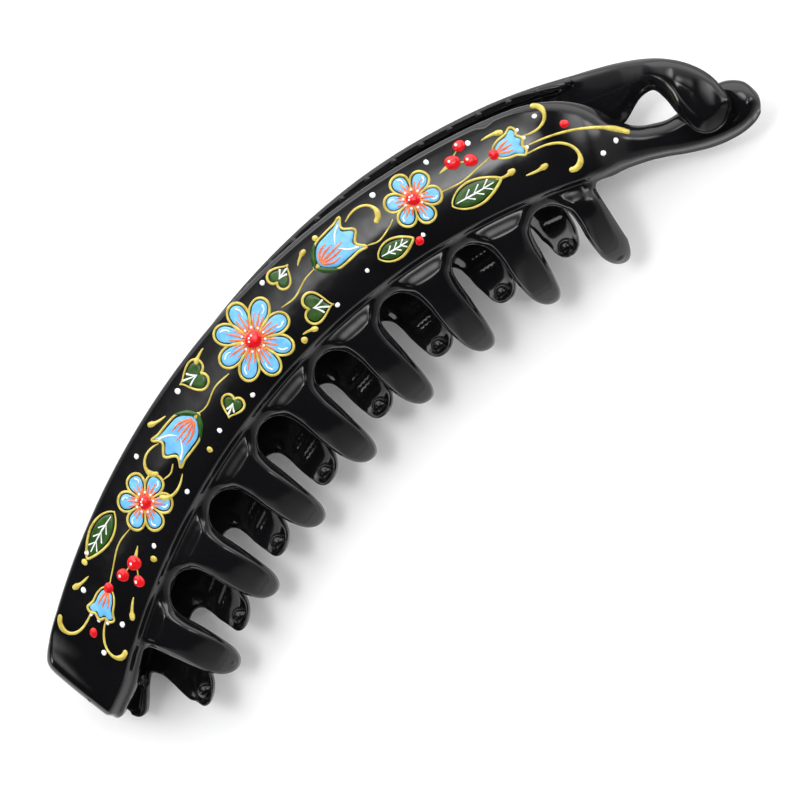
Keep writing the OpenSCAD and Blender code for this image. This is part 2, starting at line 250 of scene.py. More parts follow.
def closed_spline(p, step):
    """Even steps along a centripetal spline through closed points."""
    n = len(p)
    out = []
    for i in range(n):
        a, b, c, d = p[i - 1], p[i], p[(i + 1) % n], p[(i + 2) % n]
        gaps = [max(np.linalg.norm(f[:2] - e[:2]), 1e-4) ** 0.5 for e, f in ((a, b), (b, c), (c, d))]
        t1, t2, t3 = np.cumsum(gaps)
        t = np.linspace(t1, t2, 12, endpoint=False)[:, None]
        e1 = a + (b - a) * t / t1
        e2 = b + (c - b) * (t - t1) / (t2 - t1)
        e3 = c + (d - c) * (t - t2) / (t3 - t2)
        f1 = e1 + (e2 - e1) * t / t2
        f2 = e2 + (e3 - e2) * (t - t1) / (t3 - t1)
        out.append(f1 + (f2 - f1) * (t - t1) / (t2 - t1))
    q = np.concatenate(out)
    q = np.vstack([q, q[:1]])
    length = np.concatenate([[0], np.cumsum(np.linalg.norm(np.diff(q[:, :2], axis=0), axis=1))])
    at = np.linspace(0, length[-1], int(length[-1] / step), endpoint=False)
    return np.stack([np.interp(at, length, q[:, k]) for k in range(q.shape[1])], -1)


def inside(points, edge):
    """Which points lie in the closed outline."""
    a, b = edge, np.roll(edge, -1, 0)
    hit = np.zeros(len(points), bool)
    for k in range(0, len(points), 2000):
        p = points[k:k + 2000]
        x, y = p[:, :1], p[:, 1:2]
        span = (a[None, :, 1] > y) != (b[None, :, 1] > y)
        cross = (b[:, 0] - a[:, 0]) * (y - a[:, 1]) / (b[:, 1] - a[:, 1] + 1e-12) + a[:, 0]
        hit[k:k + 2000] = (span & (x < cross)).sum(1) % 2 == 1
    return hit


def nearest(points, edge):
    """Distance to the outline and the nearest point's number."""
    dist, who = np.empty(len(points)), np.empty(len(points), int)
    for k in range(0, len(points), 2000):
        d = ((points[k:k + 2000, None] - edge[None]) ** 2).sum(-1)
        who[k:k + 2000] = d.argmin(1)
        dist[k:k + 2000] = np.sqrt(d.min(1))
    a, b, c = edge[who - 1], edge[who], edge[(who + 1) % len(edge)]
    for s, e in ((a, b), (b, c)):
        v = e - s
        t = unit(((points - s) * v).sum(1) / (v * v).sum(1))
        dist = np.minimum(dist, np.linalg.norm(points - s - t[:, None] * v, axis=1))
    return dist, who


def roll(x, p):
    """Fall of a rounded edge, 0 inside to 1 at the edge. A low p is closer to a flat chamfer."""
    x = unit(x)
    return 1 - (1 - x ** p) ** (1 / p)


def tooth_parts(half, a, u):
    """Distance across the nearest tooth and distance from its tip."""
    n = np.clip(np.round((half["first"] - a) / half["pitch"]), 0, TEETH - 1)
    middle = half["first"] - n * half["pitch"]
    across = (a + leaning(half, a, u) - middle) * math.pi / 180 * arc_radius(u)
    return across, reach(half, middle) - u


def heights(half, a, u, dist, edge_top, edge_low):
    """Heights of the top and bottom surfaces, with their edges rolled."""
    inset, width = row(half, a, INSET), row(half, a, WIDTH)
    top = MIDDLE - row(half, a, DROP)
    share = unit((u - inset) / (width - inset))
    hollow = row(half, a, HOLLOW) * unit(1 - ((share - 0.47) / 0.4) ** 2) ** 1.2
    past = np.clip((u - width) / (reach(half, a) - BAND), 0, 1.05)
    # The teeth curve down to the middle plane, swell at their roots and are rounded across
    fall = 6.6 * (0.12 * past + 0.88 * past ** 2.8) + 0.8 * np.clip((past - 0.8) / 0.2, 0, 1.2) ** 2
    across, tip = tooth_parts(half, a, u)
    below = u - width
    root = 0.5 * (1 - np.cos(math.pi * unit((below - 0.1) / 3.0)))
    root = root * np.exp(-(np.clip(below - 3.1, 0, 20) / 3.2) ** 2) * (a < half["first"] + 3)
    fall = fall - 0.43 * root * unit(1.15 - (across / 5.8) ** 2)
    on_tooth = unit((u - width - 2.5) / 4) * (a < half["first"] + 3)
    fall = fall + on_tooth * 0.030 * np.clip(np.abs(across), 0, 3.4) ** 3
    face = top - smooth(FACE, share) - fall
    wall, edge, rim = row(half, a, WALL), row(half, a, EDGE), row(half, a, RIM)
    # Thickness, from the wall under the face to the edge at the bevel's foot and along the teeth
    thick = wall + (edge - wall) * unit((share - 0.8) / 0.2)
    thick = thick * (1 + 0.12 * unit(past))
    low = face - thick
    lip = ease((1.72 - (u - inset)) / 0.16)
    low = low * (1 - lip) + (top - rim + 0.06 * (u - inset - 0.85)) * lip
    # Two low ridges across the inner face of each tooth
    inner = np.exp(-((tip - 6.2) / 0.28) ** 2) + 0.8 * np.exp(-((tip - 8.6) / 0.28) ** 2)
    low = low - 0.28 * inner * np.clip(1.9 - np.abs(across), 0, 0.6) / 0.6 * on_tooth
    if half is LOWER:
        # The hook is rounded on the side that shows, and not dished like the band's inner face
        hook = ease((a - 18.5) / 4.5)
        wide = unit((a - 27.5) / 2.5)
        bow = np.abs(2 * share - 1) ** 2 * (1 - wide) + unit(1 - dist / 4.4) ** 2 * wide
        thin = unit((a - 29) / 3.9)
        face = face + (top - 0.4 * bow - face) * hook
        low = low + (top - 3.1 + 0.7 * bow + 1.0 * thin - low) * hook
    width_top, depth_top, power = edge_top
    width_low, depth_low, power_low = edge_low
    face = face - depth_top * roll(1 - dist / width_top, power)
    low = low + depth_low * roll(1 - dist / width_low, power_low)
    return face, low


def face_height(half, a, u):
    """The unrolled face, for the paint."""
    big = np.full(np.shape(a), 9.0)
    return heights(half, a, u, big, (1.0, 1.0, 2.0), (0.5, 0.5, 2.0))[0]


def place(half, xy, z):
    """Plan and height of a half to the scene's metres. The lower half is mirrored and turned."""
    xy = np.asarray(xy, float)
    if half is LOWER:
        t = math.radians(TURN)
        p = np.array([PIN_X, HINGE_Y])
        d = xy - p
        xy = p + np.stack([d[:, 0] * math.cos(t) - d[:, 1] * math.sin(t),
                           d[:, 0] * math.sin(t) + d[:, 1] * math.cos(t)], -1)
        z = -z
    return np.column_stack([xy - ORIGIN, z + MIDDLE]) * MM


def edge_shape(half, edge):
    """Width, depth and power of the top edge's roll at each point of the outline, then the bottom edge's."""
    a, u, kind = edge[:, 2], edge[:, 3], edge[:, 4]
    arch = unit(kind) * (kind < 1.5)
    hook = unit((a - 16) / 6)
    hinge = unit((-36.5 - a) / 2.2)
    crown = unit((reach(half, a) - 3 - u) / (reach(half, a) - 3 - half["arch"] - 1.5))
    wide = 0.62 + arch * (0.88 * crown - 0.02)
    deep = 0.62 + arch * (0.58 * crown - 0.02)
    power = 2.0 - 0.55 * arch * crown
    low = 0.45 + 0.15 * arch
    low_power = np.full(len(low), 2.0)
    wide = wide + (2.3 - wide) * hook
    deep = deep + (1.45 - deep) * hook
    low = low + (1.1 - low) * hook
    power = power + (2.0 - power) * hook
    wide = wide + (1.5 - wide) * hinge
    deep = deep + (1.2 - deep) * hinge
    low_wide = low * 1.1
    if half is LOWER:
        # A broad chamfer on the hook's concave side
        centre = (row(half, a, INSET) + row(half, a, WIDTH)) / 2
        concave = (u > centre) * (kind > 1.5) * unit((a - 22) / 2)
        low_wide = low_wide + (2.3 - low_wide) * concave
        low = low + (1.0 - low) * concave
        low_power = low_power - 0.75 * concave
    return np.stack([wide, deep, power, low_wide, low, low_power], -1)


def ring_smooth(values, turns):
    """Values round a closed outline, each averaged with its neighbours."""
    for _ in range(turns):
        values = (np.roll(values, 1, 0) + 2 * values + np.roll(values, -1, 0)) / 4
    return values


# Distances from the outline of the rows of points that follow it
RINGS = (0.02, 0.07, 0.15, 0.26, 0.40, 0.58, 0.80, 1.06, 1.38)


def half_mesh(half, step):
    """Vertices and triangles of one half, from a triangulated plan."""
    raw = np.array(outline(half))
    xy = plan(half, raw[:, 0], raw[:, 1])
    edge = closed_spline(np.column_stack([xy, raw]), step)
    outer = edge[:, :2]
    shape = ring_smooth(edge_shape(half, edge), 10)
    tangent = np.roll(outer, -1, 0) - np.roll(outer, 1, 0)
    tangent /= np.linalg.norm(tangent, axis=1)[:, None]
    area = (outer[:, 0] * np.roll(outer[:, 1], -1) - np.roll(outer[:, 0], -1) * outer[:, 1]).sum()
    inward = np.stack([-tangent[:, 1], tangent[:, 0]], -1) * np.sign(area)
    inward = ring_smooth(inward, 2)
    inward /= np.linalg.norm(inward, axis=1)[:, None]
    points = [outer]
    for d in RINGS:
        p = outer + inward * d
        dist, _ = nearest(p, outer)
        points.append(p[(dist > d * 0.9) & inside(p, outer)])
    # Inner points on lines across the band, close together at the bevel and the rim's foot
    share = np.array([0.05, 0.09, 0.114, 0.12, 0.128, 0.16, 0.2, 0.25, 0.3, 0.36, 0.42, 0.48, 0.54, 0.6, 0.66,
                      0.71, 0.75, 0.785, 0.82, 0.86, 0.9, 0.925, 0.94, 0.95, 0.96, 0.97, 0.985, 1.0])
    grid = []
    for k, a in enumerate(np.arange(-39.4, 33.4, math.degrees(step * 1.25 / RADIUS))):
        inset, width = row(half, a, INSET), row(half, a, WIDTH)
        us = list(inset + share * (width - inset)) + list(width + np.array([0.2, 0.42, 0.7]))
        us += list(np.arange(width + 1.05 + (k % 2) * 0.2, 33, step * 1.35))
        grid += [(a, u) for u in us]
    grid = np.array(grid)
    g = plan(half, grid[:, 0], grid[:, 1])
    g = g[inside(g, outer)]
    dist, _ = nearest(g, outer)
    points.append(g[dist > RINGS[-1] + step * 0.5])
    flat = np.concatenate(points)
    count = len(outer)
    edges = [(k, (k + 1) % count) for k in range(count)]
    verts, _, faces, origin, _, _ = delaunay_2d_cdt([Vector(p) for p in flat], edges, [], 1, 1e-4, True)
    v = np.array([(p.x, p.y) for p in verts])
    faces = np.array([list(f) for f in faces])
    faces = faces[inside(v[faces].mean(1), outer)]
    dist, who = nearest(v, outer)
    a, u = unplan(half, v)
    s = shape[who]
    top, low = heights(half, a, u, dist, s[:, :3].T, s[:, 3:].T)
    middle = (top + low) / 2
    top, low = np.maximum(top, middle + 0.03), np.minimum(low, middle - 0.03)
    # The ring of the outline, in order, for the wall
    kept = {}
    for k, sources in enumerate(origin):
        for source in sources:
            if source < count:
                kept[source] = k
    ring = [kept[k] for k in range(count) if k in kept]
    n = len(v)
    xyz = [place(half, v, top), place(half, v, low)]
    tris = []
    for f in faces:
        f = list(f)
        p, q, r = v[f[0]], v[f[1]], v[f[2]]
        if (q[0] - p[0]) * (r[1] - p[1]) - (q[1] - p[1]) * (r[0] - p[0]) < 0:
            f.reverse()
        tris.append(f)
        tris.append([k + n for k in f[::-1]])
    # The wall has two rows of its own between the surfaces
    m = len(ring)
    for t in (0.33, 0.67):
        z = top[ring] * (1 - t) + low[ring] * t
        xyz.append(place(half, v[ring], z))
    rows = [ring, range(2 * n, 2 * n + m), range(2 * n + m, 2 * n + 2 * m), [k + n for k in ring]]
    turn = 1 if area > 0 else -1
    for upper, lower in zip(rows, rows[1:]):
        for k in range(m):
            j = (k + 1) % m
            quad = [upper[k], lower[k], lower[j], upper[j]]
            tris.append(quad[::turn])
    if half is LOWER:
        tris = [t[::-1] for t in tris]
    return np.concatenate(xyz), tris


def make(name, verts, faces, material, body, flat=False):
    """A piece of the dressed part that rides on a body."""
    mesh = bpy.data.meshes.new(name)
    mesh.from_pydata([tuple(p) for p in verts], [], [tuple(f) for f in faces])
    mesh.validate()
    mesh.update()
    if not flat:
        mesh.polygons.foreach_set("use_smooth", [True] * len(mesh.polygons))
    obj = bpy.data.objects.new(name, mesh)
    scene.collection.objects.link(obj)
    mesh.materials.append(material)
    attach(obj, body)
    return obj


def node_material(name):
    """A material, its node tree, its shader and the object's coordinates."""
    m = bpy.data.materials.new(name)
    m.use_nodes = True
    tree = m.node_tree
    shader = tree.nodes["Principled BSDF"]
    return m, tree, shader, tree.nodes.new("ShaderNodeTexCoord").outputs["Object"]


def noise(tree, source, scale, detail=3.0):
    n = tree.nodes.new("ShaderNodeTexNoise")
    n.inputs["Scale"].default_value = scale
    n.inputs["Detail"].default_value = detail
    tree.links.new(source, n.inputs["Vector"])
    return n.outputs["Fac"]


def ramp(tree, fac, stops):
    """A ramp through stops of place and colour, or place and grey."""
    r = tree.nodes.new("ShaderNodeValToRGB")
    while len(r.color_ramp.elements) < len(stops):
        r.color_ramp.elements.new(0.5)
    for e, (p, c) in zip(r.color_ramp.elements, stops):
        e.position = p
        e.color = (*c, 1) if isinstance(c, tuple) else (c, c, c, 1)
    tree.links.new(fac, r.inputs["Fac"])
    return r.outputs["Color"]


def bump(tree, shader, fac, strength, distance):
    b = tree.nodes.new("ShaderNodeBump")
    b.inputs["Strength"].default_value = strength
    b.inputs["Distance"].default_value = distance
    tree.links.new(fac, b.inputs["Height"])
    tree.links.new(b.outputs["Normal"], shader.inputs["Normal"])


def plastic():
    """Glossy black moulded plastic with a slightly uneven skin."""
    m, tree, shader, where = node_material("black_gloss")
    tone = ramp(tree, noise(tree, where, 60), [(0.3, (0.0035, 0.0035, 0.004)), (0.7, (0.006, 0.006, 0.007))])
    tree.links.new(tone, shader.inputs["Base Color"])
    gloss = ramp(tree, noise(tree, where, 140, 5), [(0.35, 0.07), (0.75, 0.115)])
    tree.links.new(gloss, shader.inputs["Roughness"])
    shader.inputs["IOR"].default_value = 1.46
    bump(tree, shader, noise(tree, where, 170, 2), 0.10, 0.0004)
    return m


BLACK = plastic()
PAINT_GRAIN = 700


def paint(name, dark, light, rough, metal):
    """Brushed enamel with a fine grain in its colour, gloss and surface."""
    m, tree, shader, where = node_material(name)
    tone = ramp(tree, noise(tree, where, PAINT_GRAIN), [(0.3, dark), (0.7, light)])
    tree.links.new(tone, shader.inputs["Base Color"])
    gloss = ramp(tree, noise(tree, where, PAINT_GRAIN * 2), [(0.3, rough * 0.8), (0.7, rough * 1.25)])
    tree.links.new(gloss, shader.inputs["Roughness"])
    shader.inputs["Metallic"].default_value = metal
    bump(tree, shader, noise(tree, where, PAINT_GRAIN * 1.5), 0.25, 0.00008)
    return m


def steel():
    """Drawn steel with fine lines along the pin."""
    m, tree, shader, where = node_material("pin_steel")
    stretch = tree.nodes.new("ShaderNodeMapping")
    stretch.inputs["Scale"].default_value = (900, 60, 900)
    tree.links.new(where, stretch.inputs["Vector"])
    fac = noise(tree, stretch.outputs["Vector"], 1.0, 4)
    tone = ramp(tree, fac, [(0.3, (0.5, 0.5, 0.52)), (0.7, (0.66, 0.66, 0.68))])
    tree.links.new(tone, shader.inputs["Base Color"])
    tree.links.new(ramp(tree, fac, [(0.3, 0.22), (0.7, 0.4)]), shader.inputs["Roughness"])
    shader.inputs["Metallic"].default_value = 1.0
    bump(tree, shader, fac, 0.2, 0.00005)
    return m


def ball_points(half):
    """Centres of the balls on the inner faces."""
    out = []
    for n in range(TEETH):
        a = half["first"] - n * half["pitch"]
        u = reach(half, a) - BALL_BACK
        a = a - leaning(half, a, u)
        xy = plan(half, [a], [u])
        z = face_height(half, np.array([a]), np.array([u])) - BALL_DOWN
        out.append(place(half, xy, z)[0])
    return out


def add_ball(verts, faces, centre, r, across=20, up=14):
    """A round ball with this many points round it and from pole to pole."""
    base = len(verts)
    rings = [[0, 0, r]]
    for i in range(1, up):
        t = math.pi * i / up
        for k in range(across):
            f = 2 * math.pi * k / across
            rings.append([r * math.sin(t) * math.cos(f), r * math.sin(t) * math.sin(f), r * math.cos(t)])
    rings.append([0, 0, -r])
    verts += [tuple(np.array(p) * MM + centre) for p in rings]
    for k in range(across):
        j = (k + 1) % across
        faces.append((base, base + 1 + k, base + 1 + j))
        for i in range(up - 2):
            p = base + 1 + i * across
            faces.append((p + k, p + across + k, p + across + j, p + j))
        p = base + 1 + (up - 2) * across
        faces.append((p + k, base + 1 + (up - 1) * across, p + j))


def add_knuckle(verts, faces, start, long, sign):
    """A round knuckle about the pin with its web to the band, along -Y from start."""
    base = len(verts)
    n = 32
    half_turn = np.linspace(math.pi, 2 * math.pi, n // 2 + 1)
    full_turn = np.linspace(0, -2 * math.pi, n, endpoint=False)
    ring = [(KNUCKLE * math.cos(t), KNUCKLE * math.sin(t)) for t in half_turn]
    ring += [(KNUCKLE, WEB), (-KNUCKLE, WEB)]
    hole = [(PIN_HOLE * math.cos(t), PIN_HOLE * math.sin(t)) for t in full_turn]
    prism = bmesh.new()
    near = [prism.verts.new((x, 0, z)) for x, z in ring]
    far = [prism.verts.new((x, -long, z)) for x, z in ring]
    m = len(ring)
    for k in range(m):
        prism.faces.new((near[k], near[(k + 1) % m], far[(k + 1) % m], far[k]))
    near_in = [prism.verts.new((x, 0, z)) for x, z in hole]
    far_in = [prism.verts.new((x, -long, z)) for x, z in hole]
    for k in range(n):
        prism.faces.new((near_in[k], near_in[(k + 1) % n], far_in[(k + 1) % n], far_in[k]))
    for loops in ((near, near_in), (far, far_in)):
        edges = [prism.edges.get((s[k], s[(k + 1) % len(s)])) for s in loops for k in range(len(s))]
        bmesh.ops.triangle_fill(prism, edges=edges, use_beauty=True)
    bmesh.ops.recalc_face_normals(prism, faces=prism.faces)
    prism.verts.index_update()
    for v in prism.verts:
        x, y, z = PIN_X + v.co.x, HINGE_START - start + v.co.y, sign * v.co.z
        verts.append(((x - ORIGIN[0]) * MM, (y - ORIGIN[1]) * MM, (z + MIDDLE) * MM))
    for f in prism.faces:
        idx = [base + v.index for v in f.verts]
        faces.append(idx[::-1] if sign < 0 else idx)
    prism.free()


def nub_points(half):
    """Centres of the small nubs along the convex rim, on the side that faces the other half."""
    a = np.arange(-24, 21, 2.36)
    u = row(half, a, INSET) + 0.95
    return place(half, plan(half, a, u), MIDDLE - row(half, a, DROP) - row(half, a, RIM) + 0.1)


def build_half(half, name, node, body, step):
    """A half's shell, with balls and nubs, and its knuckles."""
    xyz, faces = half_mesh(half, step)
    verts = [tuple(p) for p in xyz]
    for centre in ball_points(half):
        add_ball(verts, faces, centre, BALL)
    if half is LOWER:
        for centre in nub_points(half):
            add_ball(verts, faces, centre, NUB, 12, 8)
    shell = make(name, verts, faces, BLACK, body)
    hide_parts(node)
    verts, faces = [], []
    for start, long in half["knuckles"]:
        add_knuckle(verts, faces, start, long, 1 if half is UPPER else -1)
    knuckles = make(name + "_knuckles", verts, faces, BLACK, body, flat=True)
    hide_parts(node)


build_half(UPPER, "upper_shell", "upper_half", "upper_half", 0.30)
build_half(LOWER, "lower_shell", "lower_half", "lower_half", 0.34)
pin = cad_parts["hinge_pin"]
pin.data.materials.clear()
pin.data.materials.append(steel())

# The painted design. s runs along the band in mm from the arc's middle towards the latch, u across it towards
# the teeth, and headings are in degrees from s towards u. Every stroke is a closed body lying on the face.
ALONG = RADIUS - 7.3
PAINT_TOP = 0.55  # no paint stands higher than this
DICE = random.Random(11)
COATS = {}


def lay(colour, s, u, lift, faces):
    """Adds a body to a colour's coat, with its points lifted from the face."""
    verts, tris = COATS.setdefault(colour, ([], []))
    base = sum(len(v) for v in verts)
    a = np.degrees(np.asarray(s) / ALONG)
    high = PAINT_TOP * np.tanh(np.asarray(lift) / PAINT_TOP)
    verts.append(place(UPPER, plan(UPPER, a, u), face_height(UPPER, a, u) + high))
    tris.extend(tuple(base + k for k in f) for f in faces)


def along_line(points):
    """Even steps along a curve through points."""
    p = np.asarray(points, float)
    p = np.vstack([2 * p[0] - p[1], p, 2 * p[-1] - p[-2]])
    out = []
    for a, b, c, d in zip(p, p[1:], p[2:], p[3:]):
        t = np.linspace(0, 1, 10, endpoint=False)[:, None]
        bend, twist = a - 2.5 * b + 2 * c - d / 2, 1.5 * (b - c) + (d - a) / 2
        out.append(b + t * (c - a) / 2 + t * t * bend + t ** 3 * twist)
    q = np.vstack(out + [p[-2:-1]])
    length = np.concatenate([[0], np.cumsum(np.linalg.norm(np.diff(q, axis=0), axis=1))])
    at = np.linspace(0, length[-1], max(6, int(length[-1] / 0.2)))
    return np.stack([np.interp(at, length, q[:, k]) for k in range(2)], -1), at


def stroke(colour, points, width, high=0.2, base=0.0):
    """A line of paint through points, with round ends. width is given at even steps along it."""
    p, at = along_line(points)
    half_wide = smooth(list(zip(np.linspace(0, at[-1], len(width)), width)), at) / 2
    shake = np.interp(at, np.linspace(0, at[-1], 9), [1 + DICE.uniform(-0.09, 0.09) for _ in range(9)])
    half_wide = half_wide * shake
    d = np.gradient(p, axis=0)
    d /= np.linalg.norm(d, axis=1)[:, None]
    cap = np.radians([15, 40, 65])
    first = p[0] - d[0] * half_wide[0] * np.cos(cap)[:, None]
    last = p[-1] + d[-1] * half_wide[-1] * np.cos(cap[::-1])[:, None]
    mid = np.vstack([first, p, last])
    wide = np.concatenate([half_wide[0] * np.sin(cap), half_wide, half_wide[-1] * np.sin(cap[::-1])])
    d = np.pad(d, ((3, 3), (0, 0)), "edge")
    side = np.stack([-d[:, 1], d[:, 0]], -1)
    n = len(mid)
    across = np.array([-1, -0.7, 0, 0.7, 1, 0])
    rise = np.array([0, 0.72, 1, 0.72, 0, 0])
    foot = np.array([-0.03, 0, 0, 0, -0.03, -0.07])
    xy = mid[:, None] + side[:, None] * (across * wide[:, None])[..., None]
    lift = np.minimum(high, 0.62 * wide)[:, None] * rise + foot + base
    ends = np.array([mid[0] - d[0] * wide[0] * 0.3, mid[-1] + d[-1] * wide[-1] * 0.3])
    xy = np.vstack([xy.reshape(-1, 2), ends])
    lift = np.concatenate([lift.ravel(), [base - 0.02, base - 0.02]])
    faces = []
    for k in range(n - 1):
        for j in range(6):
            i = (j + 1) % 6
            faces.append((k * 6 + j, k * 6 + i, k * 6 + 6 + i, k * 6 + 6 + j))
    for j in range(6):
        i = (j + 1) % 6
        faces.append((6 * n, i, j))
        faces.append((6 * n + 1, 6 * n - 6 + j, 6 * n - 6 + i))
    lay(colour, xy[:, 0], xy[:, 1], lift, faces)


def patch(colour, edge, centre, high=0.1, base=0.0, dome=False):
    """A filled patch of paint. Its whole edge can be seen from its centre."""
    edge, centre = np.asarray(edge, float), np.asarray(centre, float)
    n = len(edge)
    shares = (1.0, 0.96, 0.88, 0.7, 0.45, 0.2)
    lifts = [math.sqrt(1 - q * q) if dome else h for q, h in zip(shares, (0, 0.62, 0.96, 1, 0.94, 0.94))]
    xy = [centre + (edge - centre) * q for q in shares] + [centre[None], centre[None]]
    lift = [np.full(n, base + (h * high if k else -0.03)) for k, h in enumerate(lifts)]
    lift += [[base + high * (1 if dome else 0.94)], [base - 0.09]]
    xy = np.vstack(xy)
    rings = len(shares)
    top, low = rings * n, rings * n + 1
    faces = []
    for j in range(n):
        i = (j + 1) % n
        for k in range(rings - 1):
            faces.append((k * n + j, k * n + i, k * n + n + i, k * n + n + j))
        faces.append(((rings - 1) * n + j, (rings - 1) * n + i, top))
        faces.append((i, j, low))
    lay(colour, xy[:, 0], xy[:, 1], np.concatenate(lift), faces)


def dot(colour, s, u, r, high=None, base=0.0, squash=1.0):
    """A drop of paint, a little out of round."""
    t = np.linspace(0, 2 * math.pi, 22, endpoint=False)
    shake = 1 + 0.05 * np.sin(2 * t + DICE.uniform(0, 6)) + 0.03 * np.sin(3 * t + DICE.uniform(0, 6))
    edge = move(np.column_stack([r * np.cos(t), r * squash * np.sin(t)]) * shake[:, None], s, u, 0)
    patch(colour, edge, (s, u), high or 0.42 * r, base, dome=True)


def move(points, s, u, heading, size=1.0):
    """Points turned to a heading, sized and set at (s, u)."""
    t = math.radians(heading)
    x, y = size * np.asarray(points, float).T
    return np.column_stack([s + x * math.cos(t) - y * math.sin(t), u + x * math.sin(t) + y * math.cos(t)])


def curl(s, u, heading, length, start, end, power):
    """Points of a line from (s, u) that bends more and more, from start to end degrees a mm."""
    n = max(14, int(length / 0.35))
    t = (np.arange(n) + 0.5) / n
    angle = np.radians(heading + np.cumsum(start + (end - start) * t ** power) * length / n)
    x, y = np.cumsum(np.cos(angle)), np.cumsum(np.sin(angle))
    return np.column_stack([s + np.r_[0, x] * length / n, u + np.r_[0, y] * length / n])


# Widths along a line of paint
TEAR = (0.2, 0.34, 0.42, 0.46, 0.5, 0.62, 1.0, 0.92)
EVEN = (0.26, 0.4, 0.46, 0.42, 0.38, 0.26)
FINE = (0.16, 0.3, 0.3, 0.26, 0.2)


def scroll(s, u, heading, length, start, end, power):
    stroke("gold", curl(s, u, heading, length, start, end, power), TEAR)


def grown(edge, centre, by):
    """A closed outline moved outwards from its centre."""
    out = np.asarray(edge) - centre
    far = np.linalg.norm(out, axis=1)[:, None]
    return centre + out * (1 + by / far)


def bordered(colour, edge, centre, gap, start=0.0):
    """A patch with a gold line round it at a gap. The line starts at a share of the way round."""
    edge, centre = np.asarray(edge, float), np.asarray(centre, float)
    patch(colour, edge, centre)
    ring = grown(edge, centre, gap)
    ring = np.roll(ring, -int(start * len(ring)), 0)
    stroke("gold", np.vstack([ring, ring[:2] + 0.06])[::2], EVEN, base=0.02)


def petal_shape(long, wide):
    t = np.linspace(0, 2 * math.pi, 34, endpoint=False)
    x = (1 - np.cos(t)) / 2
    return np.column_stack([x * long, np.sin(t) * wide / 2 * (0.62 + 0.62 * x)])


def leaf_shape(long, wide):
    t = np.linspace(0, 2 * math.pi, 40, endpoint=False)
    x = (1 - np.cos(t)) / 2
    y = np.sign(np.sin(t)) * np.abs(np.sin(t)) ** 1.5 * wide / 2 * (1.25 - 0.5 * x)
    return np.column_stack([x * long, y])


def heart_shape(size):
    t = np.linspace(0, 2 * math.pi, 44, endpoint=False)
    x = -(13 * np.cos(t) - 5 * np.cos(2 * t) - 2 * np.cos(3 * t) - np.cos(4 * t)) / 17
    return size * np.column_stack([x, 0.92 * np.sin(t) ** 3])


def mirrored(points):
    """A closed outline from its upper side, running from the base to the top."""
    return points + [(x, -y) for x, y in points[-2:0:-1]]


TULIP = mirrored([(-0.1, 0), (0.35, 1.1), (1.7, 2.05), (3.4, 2.2), (5.0, 2.3), (6.2, 2.6), (5.3, 1.25),
                  (6.5, 0)])
BELL = mirrored([(-0.1, 0), (0.15, 0.75), (1.2, 1.25), (2.4, 1.45), (3.5, 2.1), (3.9, 1.35), (3.6, 0.75),
                 (4.2, 0)])


def daisy(s, u, petals, reach_out, core, turn):
    """A round flower with bordered petals, orange strokes from its heart and a red dome."""
    wide = 2 * math.pi * reach_out * 0.7 / petals - 0.78
    long = reach_out - core * 1.15
    for k in range(petals):
        heading = turn + 360 / petals * k
        start = move([(core * 1.15, 0)], s, u, heading)[0]
        shape = move(petal_shape(long, wide), *start, heading)
        bordered("blue", shape, move([(core * 1.15 + long * 0.55, 0)], s, u, heading)[0], 0.36, 0.02)
        for off, far in ((-0.3, 0.52), (0.05, 0.66), (0.33, 0.46)):
            far *= DICE.uniform(0.85, 1.12)
            line = [(core * 0.7, off * wide * 0.35), (core + long * far * 0.6, off * wide * 0.8),
                    (core + long * far, off * wide * 0.9)]
            stroke("orange", move(line, s, u, heading), (0.34, 0.42, 0.34, 0.2), 0.13, base=0.1)
        tick = [(core * 1.3 + long * 0.5, 0.22 * wide), (core * 1.3 + long * 0.66, 0.27 * wide),
                (core * 1.3 + long * 0.8, 0.12 * wide)]
        stroke("white", move(tick, s, u, heading), (0.14, 0.24, 0.3), 0.12, base=0.11)
    dot("red", s, u, core, core * 0.5, base=0.08)
    count = petals + 3
    for k in range(count):
        dot("white", *move([(core * 1.34, 0)], s, u, 360 / count * k + 11)[0], 0.2, 0.12, base=0.2)
    for k in (200, 245, 290):
        dot("white", *move([(core * 0.5, 0)], s, u, k)[0], 0.17, 0.1, base=0.08 + core * 0.42)


def tulip(*at):
    """A flower from the side. at is s, u, heading and size, here and below."""
    shape = closed_spline(move(TULIP, *at), 0.24)
    middle = move([(3.2, 0)], *at)[0]
    bordered("blue", shape, middle, 0.4)
    for off in (-1.25, -0.65, 0.0, 0.62, 1.2):
        far = DICE.uniform(3.2, 4.5) - abs(off) * 0.5
        line = [(0.4, off * 0.3), (far * 0.55, off * 1.0), (far, off * 1.12)]
        stroke("orange", move(line, *at), (0.3, 0.44, 0.4, 0.18), 0.13, base=0.1)
    for side in (-1, 1):
        line = [(5.5, 2.05 * side), (4.4, 1.45 * side), (3.5, 0.4 * side)]
        stroke("white", move(line, *at), (0.34, 0.3, 0.14), 0.13, base=0.12)
        sepal = [(-0.7, 0.1 * side), (0.2, 1.35 * side), (1.5, 2.5 * side)]
        stroke("green", move(sepal, *at), (0.5, 0.95, 0.75, 0.2), 0.16, base=0.1)
    dot("gold", *move([(-0.55, 0)], *at)[0], 0.55)


def bell(*at):
    shape = closed_spline(move(BELL, *at), 0.2)
    bordered("blue", shape, move([(2.2, 0)], *at)[0], 0.36)
    for off in (-0.7, 0, 0.7):
        line = [(0.3, off * 0.35), (1.5, off), (2.6 - abs(off) * 0.3, off * 1.2)]
        stroke("orange", move(line, *at), (0.3, 0.42, 0.18), 0.13, base=0.1)
    for off in (-1.5, 0, 1.5):
        dot("white", *move([(4.7 - abs(off) * 0.2, off)], *at)[0], 0.3)
    dot("red", *move([(-0.5, 0)], *at)[0], 0.85)


